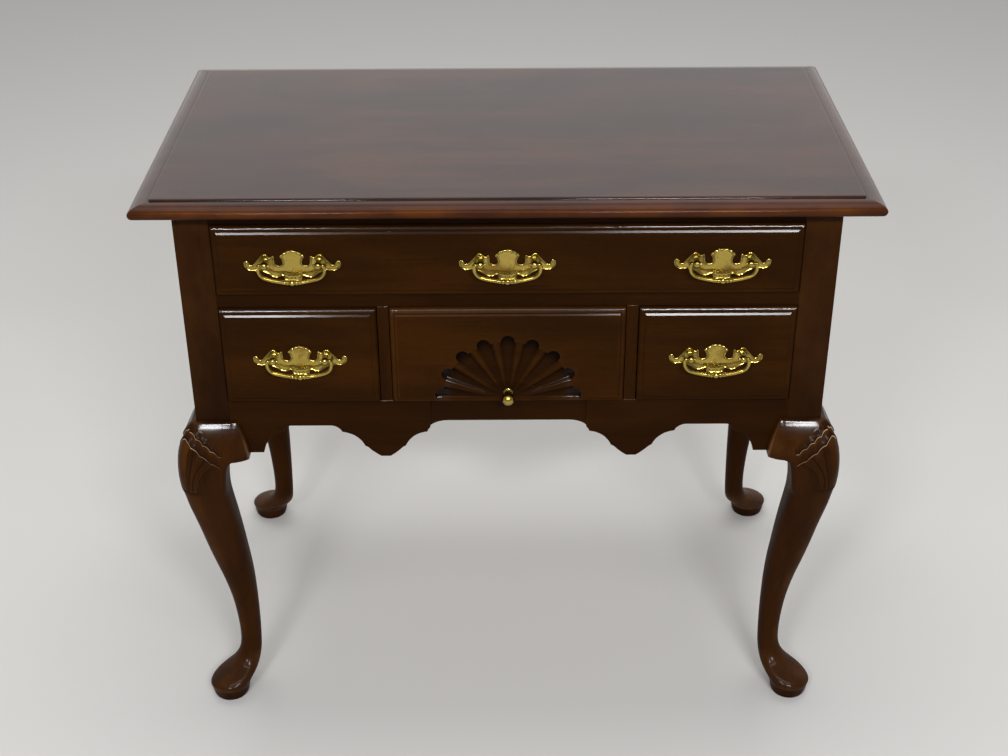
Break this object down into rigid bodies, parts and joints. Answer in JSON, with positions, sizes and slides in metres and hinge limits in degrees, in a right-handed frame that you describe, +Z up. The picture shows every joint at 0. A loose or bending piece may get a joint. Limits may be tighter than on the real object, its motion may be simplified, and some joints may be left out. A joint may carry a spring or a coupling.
{
  "type": "lowboy",
  "caption": "Low dressing chest on curved cabriole legs, with a wide drawer over smaller ones, a carved fan, shaped apron and swinging brass bail pulls.",
  "frame": {"origin": "on the floor, at the middle of the space that the whole piece takes up", "axes": "+Z up, -Y towards the person who opens the drawers, +X to that person's right"},
  "size_m": [0.87, 0.51, 0.762],
  "materials": {
    "top_wood": "dark red-brown mahogany, satin lacquer",
    "case_wood": "dark brown mahogany, satin lacquer",
    "front_wood": "dark brown mahogany, satin lacquer",
    "leg_wood": "dark brown mahogany, satin lacquer, lighter on worn edges",
    "inner_wood": "plain pale drawer stock, sealed",
    "back_wood": "brown stained back board",
    "brass": "polished, slightly aged",
    "steel": "plain zinc plated"
  },
  "bodies": {
    "case": {"top_board": "top_wood", "leg_front_left": "leg_wood", "leg_front_right": "leg_wood", "leg_back_left": "leg_wood", "leg_back_right": "leg_wood", "side_panel_left": "case_wood", "side_panel_right": "case_wood", "back_panel": "back_wood", "top_rail": "case_wood", "middle_rail": "case_wood", "divider_left": "case_wood", "divider_right": "case_wood", "apron": "case_wood", "knee_block_front_left": "leg_wood", "knee_block_front_right": "leg_wood", "knee_block_side_front_left": "leg_wood", "knee_block_side_front_right": "leg_wood", "knee_block_side_back_left": "leg_wood", "knee_block_side_back_right": "leg_wood", "drawer_runners": "inner_wood", "drawer_stops": "inner_wood", "glue_blocks": "inner_wood", "top_screws": "steel"},
    "top_drawer": {"top_drawer_front": "front_wood", "top_drawer_side_left": "inner_wood", "top_drawer_side_right": "inner_wood", "top_drawer_back": "inner_wood", "top_drawer_bottom": "inner_wood", "backplate_top_left": "brass", "backplate_top_centre": "brass", "backplate_top_right": "brass", "pull_posts_top": "brass", "pull_nuts_top": "steel"},
    "left_drawer": {"left_drawer_front": "front_wood", "left_drawer_side_left": "inner_wood", "left_drawer_side_right": "inner_wood", "left_drawer_back": "inner_wood", "left_drawer_bottom": "inner_wood", "backplate_left": "brass", "pull_posts_left": "brass", "pull_nuts_left": "steel"},
    "centre_drawer": {"centre_drawer_front": "front_wood", "centre_drawer_side_left": "inner_wood", "centre_drawer_side_right": "inner_wood", "centre_drawer_back": "inner_wood", "centre_drawer_bottom": "inner_wood", "centre_knob": "brass"},
    "right_drawer": {"right_drawer_front": "front_wood", "right_drawer_side_left": "inner_wood", "right_drawer_side_right": "inner_wood", "right_drawer_back": "inner_wood", "right_drawer_bottom": "inner_wood", "backplate_right": "brass", "pull_posts_right": "brass", "pull_nuts_right": "steel"},
    "bail_top_left_body": {"bail_top_left": "brass"},
    "bail_top_centre_body": {"bail_top_centre": "brass"},
    "bail_top_right_body": {"bail_top_right": "brass"},
    "bail_left_body": {"bail_left": "brass"},
    "bail_right_body": {"bail_right": "brass"}
  },
  "joints": [
    {"name": "top_drawer_slide", "type": "slide", "parent": "case", "child": "top_drawer", "axis": [0, -1, 0], "range_m": [0, 0.29]},
    {"name": "left_drawer_slide", "type": "slide", "parent": "case", "child": "left_drawer", "axis": [0, -1, 0], "range_m": [0, 0.29]},
    {"name": "centre_drawer_slide", "type": "slide", "parent": "case", "child": "centre_drawer", "axis": [0, -1, 0], "range_m": [0, 0.29]},
    {"name": "right_drawer_slide", "type": "slide", "parent": "case", "child": "right_drawer", "axis": [0, -1, 0], "range_m": [0, 0.29]},
    {"name": "bail_top_left_swing", "type": "hinge", "parent": "top_drawer", "child": "bail_top_left_body", "pos_m": [-0.25475, -0.2355, 0.677], "axis": [-1, 0, 0], "range_deg": [-15, 150]},
    {"name": "bail_top_centre_swing", "type": "hinge", "parent": "top_drawer", "child": "bail_top_centre_body", "pos_m": [0, -0.2355, 0.677], "axis": [-1, 0, 0], "range_deg": [-15, 150]},
    {"name": "bail_top_right_swing", "type": "hinge", "parent": "top_drawer", "child": "bail_top_right_body", "pos_m": [0.25475, -0.2355, 0.677], "axis": [-1, 0, 0], "range_deg": [-15, 150]},
    {"name": "bail_left_swing", "type": "hinge", "parent": "left_drawer", "child": "bail_left_body", "pos_m": [-0.25475, -0.2355, 0.5475], "axis": [-1, 0, 0], "range_deg": [-15, 150]},
    {"name": "bail_right_swing", "type": "hinge", "parent": "right_drawer", "child": "bail_right_body", "pos_m": [0.25475, -0.2355, 0.5475], "axis": [-1, 0, 0], "range_deg": [-15, 150]}
  ]
}
